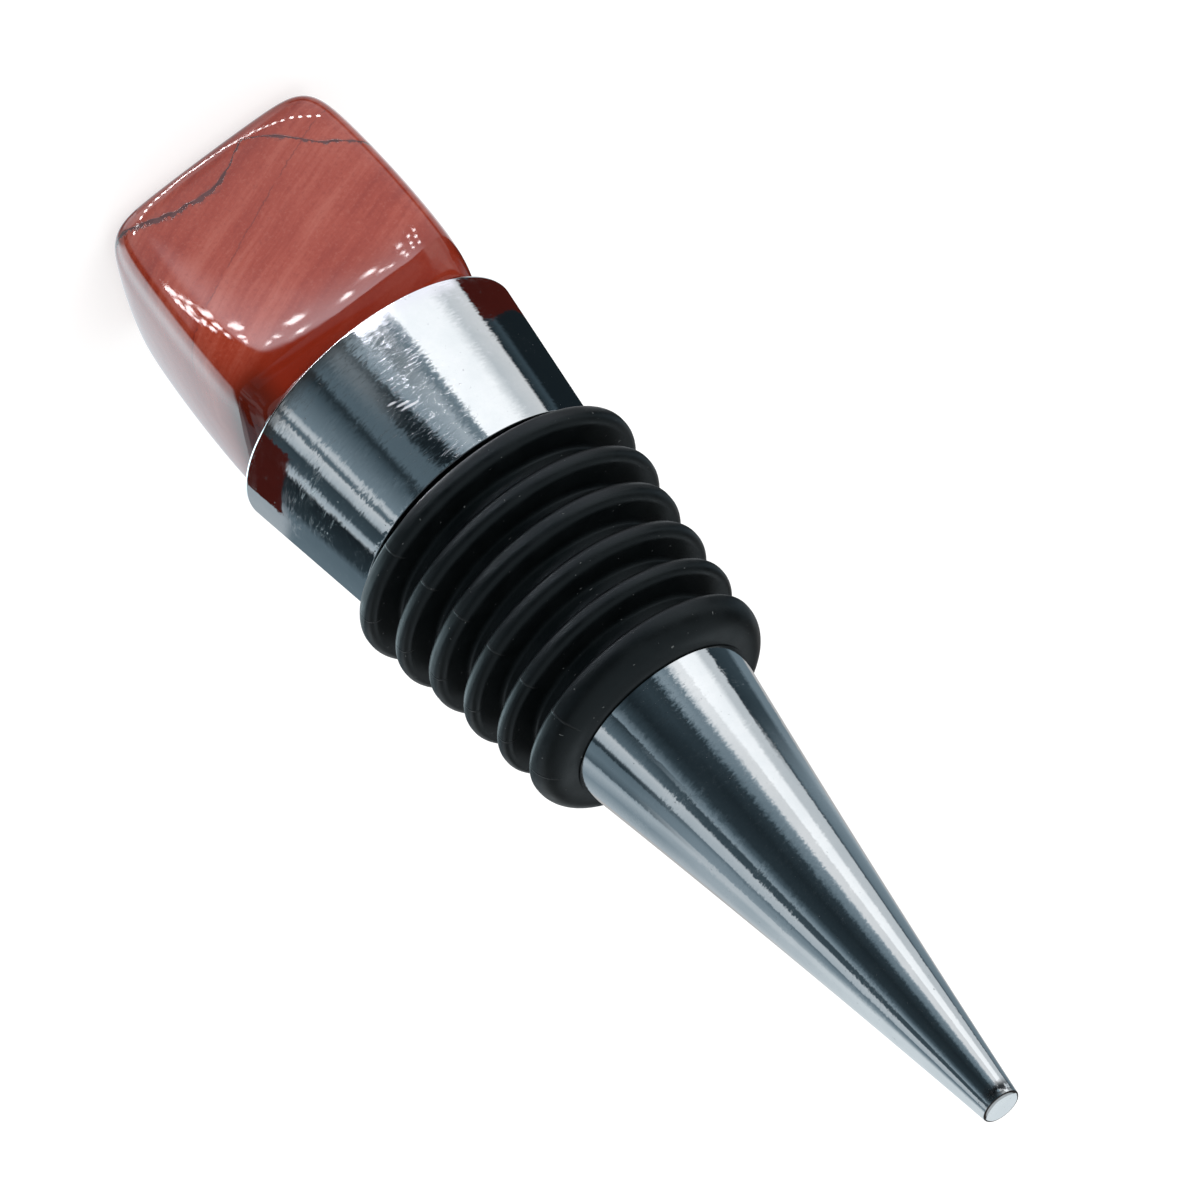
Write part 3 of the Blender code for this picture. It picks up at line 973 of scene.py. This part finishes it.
CONE_PANELS = (
    (-0.98, 0.46), (-0.94, 0.36), (-0.86, 0.34), (-0.82, 0.46), (-0.765, 0.44), (-0.755, 0.24),
    (-0.66, 0.21), (-0.615, 0.13), (-0.605, 0.40), (-0.49, 0.46), (-0.475, 0.06), (-0.375, 0.05),
    (-0.365, 0.27), (-0.33, 0.20), (-0.27, 0.08), (-0.20, 0.03), (0.02, 0.018), (0.19, 0.035),
    (0.21, 0.07), (0.26, 0.16), (0.34, 0.20), (0.375, 0.30), (0.405, 0.66), (0.52, 0.66),
    (0.535, 0.93), (0.655, 0.88), (0.69, 0.52), (0.81, 0.50), (0.82, 0.05), (0.85, 0.16),
    (0.95, 0.22), (0.98, 0.34),
)
CHROME_REFLECTS = 0.86
DARK_TINT = np.array([0.50, 0.80, 1.0])
BRIGHT_TINT = np.array([0.965, 0.985, 1.0])
BEHIND = 0.48                        # brightness straight behind the stopper
print("panel edges:", len(COLLAR_PANELS), len(CONE_FOOT_PANELS), len(CONE_PANELS))

# %% Where a panel stands


def panel_angle(share, lean, radius):
    """Degrees round the drum, from the camera's side and positive to -X, that a share mirrors.

    The normal at that share points (share, sqrt(1 - share squared)) round the axis and leans up.
    The mirrored ray is twice the normal's part along the view, minus the view. It starts at the
    radius, and the angle is where it crosses the drum.
    """
    outward = np.array([-share, -math.sqrt(1 - share * share)])
    normal = np.array([*(outward * math.cos(lean)), math.sin(lean)])
    view = -np.array(forward)
    ray = (2 * (normal @ view) * normal - view)[:2]
    ray /= np.linalg.norm(ray)
    start = outward * radius
    half = start @ ray
    reach = math.sqrt(half * half - start @ start + DRUM_RADIUS ** 2) - half
    x, y = start + ray * reach
    return math.degrees(math.atan2(-x, -y))


def panel_stops(panels, lean, radius):
    """The panels as stops of a colour ramp. Bright ones are near white, and dark ones blue-green."""
    stops = []
    for share, light in panels:
        white = min(light / 0.6, 1.0)
        tint = DARK_TINT * (1 - white) + BRIGHT_TINT * white
        colour = tuple(light / CHROME_REFLECTS * tint / tint.mean())
        stops.append((panel_angle(share, lean, radius) / 360 + 0.5, colour))
    return stops


window_edge = panel_angle(0.395, COLLAR_LEAN, COLLAR_AT)
print("the collar's white panel starts at", round(window_edge), "degrees round the drum")

# %% The drum's paint


def painted(made, angle, *panels):
    """The colours of panels, with their lean and radius, by the angle round the drum."""
    return made.ramp(made.range(angle, -180.0, 180.0, smooth=False), panel_stops(*panels))


def drum_paint():
    """Panels by angle, chosen by level: the collar's lowest, then the cone's foot and the cone.

    The level is the height on the drum, put right for how much lower the sides are mirrored. Above
    the cone's band it is dark, and the back is grey. The last mixes are for the rim: grey in front
    of it, and a pale skirt on the left.
    """
    made = Finish("drum_panels")
    x, y, z = made.split(made.grid)
    angle = made.degrees_round(x, y)
    level = made.times_plus(made.times(angle, angle), DROP, z)

    # The panels of the collar, the cone and the cone's foot, each chosen by its level
    slide = made.times(made.minus(level, 4.0), made.near(angle, 10.0, 24.0, 0.0, -0.9))
    collar = painted(made, made.plus(angle, slide), COLLAR_PANELS, COLLAR_LEAN, COLLAR_AT)
    flare = made.times_plus(made.minus(level, 56.0), 0.0055, 1.0)
    cone = painted(made, made.math_node("DIVIDE", angle, flare), CONE_PANELS, CONE_LEAN, CONE_AT)
    foot = painted(made, angle, CONE_FOOT_PANELS, CONE_LEAN, FOOT_AT)
    cone = made.mix(made.range(level, *FOOT_FROM), cone, foot)
    back = made.range(made.gap(angle, 0.0), 151.0, 157.0)
    cone = made.mix(back, cone, (BEHIND,) * 3)
    pale_edge = made.times(made.range(level, 52.0, 72.0), made.range(angle, -84.0, -102.0))
    cone = made.mix(pale_edge, cone, (0.68, 0.74, 0.77))
    panels = made.mix(made.range(level, *CONE_FROM), collar, cone)
    panels = made.mix(made.range(level, *DARK_FROM), panels, (0.03, 0.03, 0.03))

    # What the collar's rim mirrors: grey in front, and the skirt on the left
    at_rim = made.range(level, 5.0, -1.0)
    middle = made.times(at_rim, made.near(angle, -2.0, 13.0, 0.0, 0.9))
    panels = made.mix(middle, panels, (0.17, 0.20, 0.22))
    beside = made.times(at_rim, made.near(angle, 27.0, 13.0, 0.0, 0.7))
    panels = made.mix(beside, panels, (0.11, 0.13, 0.14))
    skirt_top = made.range(angle, -100.0, -130.0, -2.2, 0.2, smooth=False)
    skirt = made.range(made.minus(level, skirt_top), 0.8, -0.6)
    skirt = made.times(skirt, made.range(angle, -84.0, -104.0))
    panels = made.mix(skirt, panels, (0.35, 0.395, 0.43))
    return made.only_glow(panels)


print("a ring is mirrored", round(DROP * 90 ** 2, 1), "mm lower at the sides")

# %% The drum


def studio_card(name, points, faces):
    """A mesh that only mirrors see."""
    made = plain_mesh(name, points, faces)
    for seen in ("camera", "diffuse", "transmission", "shadow"):
        setattr(made, "visible_" + seen, False)
    return made


def band(name, first, second, closed=False):
    """A strip of four-cornered faces between two lines of points in mm, closed into a ring or open."""
    count = len(first)
    index = np.arange(count if closed else count - 1)
    beside = (index + 1) % count
    faces = together(index, beside, beside + count, index + count).tolist()
    return studio_card(name, np.concatenate([first, second]) * MM, faces)


def make_drum(columns=360):
    """An upright tube. Its foot follows the ring of the drum that the collar's rim mirrors.

    The foot stays DRUM_FOOT below that ring, and FOOT_DIP more where it has turned to the sides.
    """
    angle = np.arange(columns) / columns * 360 - 180
    aside = np.clip((np.abs(angle) - 95.0) / 30.0, 0.0, 1.0)
    x, y = -DRUM_RADIUS * np.sin(np.radians(angle)), -DRUM_RADIUS * np.cos(np.radians(angle))
    foot = together(x, y, -DRUM_FOOT - DROP * angle ** 2 - FOOT_DIP * aside)
    return band("drum", foot, together(x, y, DRUM_TOP), closed=True)


drum = make_drum()
drum_paint().put_on(drum)
print("drum", len(drum.data.polygons), "faces")

# %% [markdown]
# Beyond the drum is the world, painted by direction. The stone mirrors what is under the drum: a
# bright window in front of it, brightest along its top edge, and pale walls at its sides that are
# dimmer further down. The flat tip mirrors a pale patch over the back of the drum. The camera sees
# plain white, and matt surfaces get an even light.

# %% The world
AMBIENT = 0.62                       # the even light


def paint_world():
    """The world: white to the camera, even to matt surfaces, and window and walls to mirrors.

    A direction is two angles in degrees: side, as on the drum, and height above the horizon.
    """
    world = bpy.data.worlds.new("studio")
    bpy.context.scene.world = world
    world.use_nodes = True
    world.node_tree.nodes.clear()
    made = Paint(world.node_tree)
    x, y, z = made.split(made.add("ShaderNodeTexCoord").outputs["Generated"])
    side = made.degrees_round(x, y)
    height = made.times(made.math_node("ARCSINE", z), math.degrees(1))

    # A dark room with a pale ceiling and a pale wall on each side
    low = made.range(height, -15.5, -18.5)
    left = made.times(low, made.range(side, -74.0, -88.0))
    left_light = made.times(
        made.range(side, -120.0, -158.0, 3.3, 1.1),
        made.range(height, -21.0, -29.0, 0.70, 1.0),
        made.range(height, -44.0, -54.0, 1.0, 0.22),
    )
    right = made.times(low, made.range(side, 112.0, 124.0))
    right_light = made.range(side, 130.0, 172.0, 0.60, 1.12)
    right_light = made.times(right_light, made.range(height, -44.0, -54.0, 1.0, 0.65))
    sky = made.range(height, 24.0, 38.0, 0.0, 0.42)
    studio = made.mix(sky, (0.03, 0.025, 0.022), (0.93, 1.0, 1.04))
    left_tint = made.mix(made.range(side, -138.0, -160.0), (0.80, 1.00, 1.07), (0.84, 0.92, 0.98))
    studio = made.mix(left, studio, made.scaled(left_tint, left_light))
    studio = made.mix(right, studio, made.scaled((0.97, 1.02, 1.06), right_light))

    # The window in front, with a veil of light under its top edge
    top_edge = made.range(side, 0.0, 24.0, -27.0, -3.0, smooth=False)
    below = made.minus(top_edge, height)
    window = made.times(
        made.range(below, 0.0, 2.5), made.range(side, -60.0, -44.0), made.range(side, 112.0, 96.0),
    )
    veil = made.times(
        made.range(below, 2.0, 20.0, 3.4, 0.0), made.range(side, 52.0, 27.0), made.range(side, -8.0, 14.0),
    )
    glass = made.plus(veil, made.range(height, -50.0, -60.0, 1.1, 0.7))
    studio = made.mix(window, studio, made.scaled((1.0, 0.98, 1.06), glass))

    # What lies straight below, and the patch over the drum that the tip mirrors
    under_light = made.range(side, 20.0, 120.0, 1.6, 0.7)
    under = made.range(height, -67.0, -72.0)
    studio = made.mix(under, studio, made.scaled((1.0, 0.99, 1.05), under_light))
    behind = made.range(made.gap(side, 0.0), 140.0, 150.0)
    tip_patch = made.times(behind, made.range(height, 12.0, 16.0))
    studio = made.mix(tip_patch, studio, (0.74, 0.80, 0.83))

    # Mirrors see the studio, matt surfaces an even light, and the camera white
    paths = made.add("ShaderNodeLightPath")
    seen = made.mix(paths.outputs["Is Glossy Ray"], (AMBIENT,) * 3, studio)
    seen = made.mix(paths.outputs["Is Camera Ray"], seen, (1.0, 1.0, 1.0))
    background = made.add("ShaderNodeBackground")
    made.feed(background.inputs["Color"], seen)
    made.feed(made.add("ShaderNodeOutputWorld").inputs["Surface"], background.outputs[0])


paint_world()
print("world painted")

# %% [markdown]
# The window has rows of small lamps along its frame, and the polished stone shows them as rows of
# glints. Each glint was measured on the stone. The law of reflection then says where the lamp has to
# be: the outline of the glint is laid on the stone's surface, the camera's rays are mirrored there,
# and the lamp is the outline of those rays further out. Only mirrors see the lamps.

# %% Where the glints are
LAMP_DISTANCE = 0.8
LAMP_POWER = 26.0
END_COUNT, END_LENGTH = 27, 0.33     # of the row of even glints, the length of each in mm
END_GLINTS = (                       # a row of even glints, by X and Z in mm on the stone's front
    (5.6, 2.6), (4.6, 2.0), (3.6, 1.6), (2.5, 1.4), (0.1, 1.25), (-2.9, 1.4), (-5.4, 1.75),
    (-6.7, 2.1), (-7.8, 2.4), (-9.0, 2.9), (-9.8, 3.5), (-10.5, 4.0),
)
INNER_GLINTS = (                     # X and Z of each glint in mm, and its length
    (6.4, 8.4, 1.1), (6.1, 9.4, 0.7), (5.9, 10.4, 0.9), (5.5, 11.8, 1.3), (4.5, 14.2, 1.3),
    (0.9, 16.8, 1.4), (-5.6, 17.4, 1.3), (-8.6, 17.0, 0.5), (-9.6, 16.7, 0.35), (-10.2, 16.5, 0.3),
)
MIDDLE_GLINTS = (
    (6.5, 9.4, 0.9), (6.2, 10.8, 0.9), (6.0, 12.1, 0.6), (5.5, 13.3, 0.75), (4.7, 15.2, 0.8),
    (2.8, 17.0, 0.7), (1.1, 17.8, 0.9), (-3.3, 17.8, 1.0), (-6.5, 17.8, 0.5), (-8.5, 17.6, 0.35),
    (-9.4, 17.3, 0.3), (-10.0, 17.1, 0.3),
)
OUTER_GLINTS = (
    (6.5, 10.2, 0.6), (6.4, 11.0, 0.6), (6.3, 11.7, 0.5), (6.1, 12.4, 0.5), (5.9, 13.3, 0.6),
    (5.4, 14.4, 0.5), (4.7, 15.8, 0.45), (3.6, 17.0, 0.45), (-7.2, 17.9, 0.4), (-8.6, 17.9, 0.25),
    (-9.3, 17.7, 0.25), (-9.9, 17.6, 0.25),
)


def row_of(points):
    """Even glints along a line through the points, as (X, Z, length)."""
    points = np.array(points)
    run = np.concatenate([[0.0], np.cumsum(np.hypot(*np.diff(points, axis=0).T))])
    along = np.linspace(0.0, run[-1], END_COUNT)
    return together(np.interp(along, run, points[:, 0]), np.interp(along, run, points[:, 1]), END_LENGTH)


def glint_outlines(glints, corners=10):
    """Ellipses along their row: (glint, corner, XZ) in metres."""
    glints = np.array(glints)
    heading = np.gradient(glints[:, :2], axis=0)
    heading /= np.linalg.norm(heading, axis=1)[:, None]
    sideways = together(-heading[:, 1], heading[:, 0])
    long = glints[:, 2] / 2
    wide = 0.06 + 0.09 * glints[:, 2]
    turn = np.arange(corners) / corners * math.tau
    ellipse = np.cos(turn)[None, :, None] * (heading * long[:, None])[:, None]
    ellipse = ellipse + np.sin(turn)[None, :, None] * (sideways * wide[:, None])[:, None]
    return (glints[:, None, :2] + ellipse) * MM


print("glints:", END_COUNT, len(INNER_GLINTS), len(MIDDLE_GLINTS), len(OUTER_GLINTS))

# %% The lamps that the stone mirrors


def mirrored_lamps(outlines):
    """Carries outlines on the stone's front to lamps, by mirroring the camera's rays.

    The normal is the slope of stone_level, from small steps along X, Y and Z.
    """
    x, z = outlines[..., 0], outlines[..., 1]
    start = together(x, STONE_MIDDLE[1], z)
    spots = stone_meets(start, np.broadcast_to([0.0, -1.0, 0.0], start.shape))
    steps = np.eye(3) * 0.01 * MM
    normal = together(*[stone_level(spots + step) - stone_level(spots - step) for step in steps])
    normal /= np.linalg.norm(normal, axis=-1)[..., None]
    view = np.array(CAMERA_PLACE) - spots
    view /= np.linalg.norm(view, axis=-1)[..., None]
    mirrored = 2 * (normal * view).sum(axis=-1)[..., None] * normal - view
    return spots + mirrored * LAMP_DISTANCE


def make_stone_lamps():
    """All the lamps as one mesh, a polygon for each glint."""
    rows = [row_of(END_GLINTS), INNER_GLINTS, MIDDLE_GLINTS, OUTER_GLINTS]
    outlines = np.concatenate([glint_outlines(row) for row in rows])
    places = mirrored_lamps(outlines)
    count, corners = places.shape[:2]
    faces = np.arange(count * corners).reshape(count, corners).tolist()
    return studio_card("stone_lamps", places.reshape(-1, 3), faces)


stone_lamps = make_stone_lamps()
Finish("lamp_glow").only_glow((1.0, 0.98, 1.0), LAMP_POWER).put_on(stone_lamps)
print(len(stone_lamps.data.polygons), "lamps for the stone")

# %% [markdown]
# Beside the rim the chrome mirrors something dark red that stands close to it on both sides, so it
# shows near the rim and not further down. Two narrow curved cards, dark red, give the same.

# %% Red cards beside the rim
CARD_WIDTH = 3.8                     # mm
LEFT_CARD = (                        # X, Y and upper edge, in mm, with heights from the rim
    (33.0, -14.4, -3.2), (35.1, -8.2, -3.6), (36.0, -1.6, -4.2), (35.4, 6.4, -4.9), (32.8, 14.8, -5.9),
)
RIGHT_CARD = (
    (-36.0, -0.6, -3.8), (-35.6, 5.2, -4.4), (-33.5, 13.2, -6.1), (-30.0, 20.0, -7.8),
    (-23.8, 27.0, -9.7), (-15.8, 32.3, -11.6), (-9.0, 34.9, -12.4),
)


def make_red_card(name, upper_edge):
    """A band between the upper edge and the same line lower down."""
    upper = np.array(upper_edge) + [0.0, 0.0, RIM_Z / MM]
    return band(name, upper, upper - [0.0, 0.0, CARD_WIDTH])


red_cards = [make_red_card("left_card", LEFT_CARD), make_red_card("right_card", RIGHT_CARD)]
Finish("dark_red_glow").only_glow((0.055, 0.009, 0.007)).put_on(*red_cards)
print("red cards", [len(card.data.polygons) for card in red_cards])

# %% [markdown]
# Three large soft lamps model the stone's and the sleeve's forms. Mirrors don't see them, because
# the painted studio already holds everything that a mirror should show.

# %% Soft lamps


def soft_lamp(name, place, size, power):
    """A square lamp that shines on the middle of the stopper and isn't seen in mirrors."""
    data = bpy.data.lights.new(name, "AREA")
    data.size = size
    data.energy = power
    made = put_in_scene(name, data)
    made.location = place
    made.rotation_mode = "QUATERNION"
    towards = Vector((0.0, 0.0, TIP_Z / 2)) - Vector(place)
    made.rotation_quaternion = towards.to_track_quat("-Z", "Y")
    made.visible_glossy = False


soft_lamp("key_lamp", (-0.7, -1.1, 0.45), 0.8, 10.8)
soft_lamp("fill_lamp", (1.0, -0.8, 0.4), 1.0, 2.0)
soft_lamp("top_lamp", (0.1, 0.5, 1.4), 1.2, 5.0)
print("three soft lamps")

# %% [markdown]
# Last, colours are shown plainly, with the Standard view transform. The shown pieces have to stay
# inside the solids' box.

# %% The view transform
bpy.context.scene.view_settings.view_transform = "Standard"
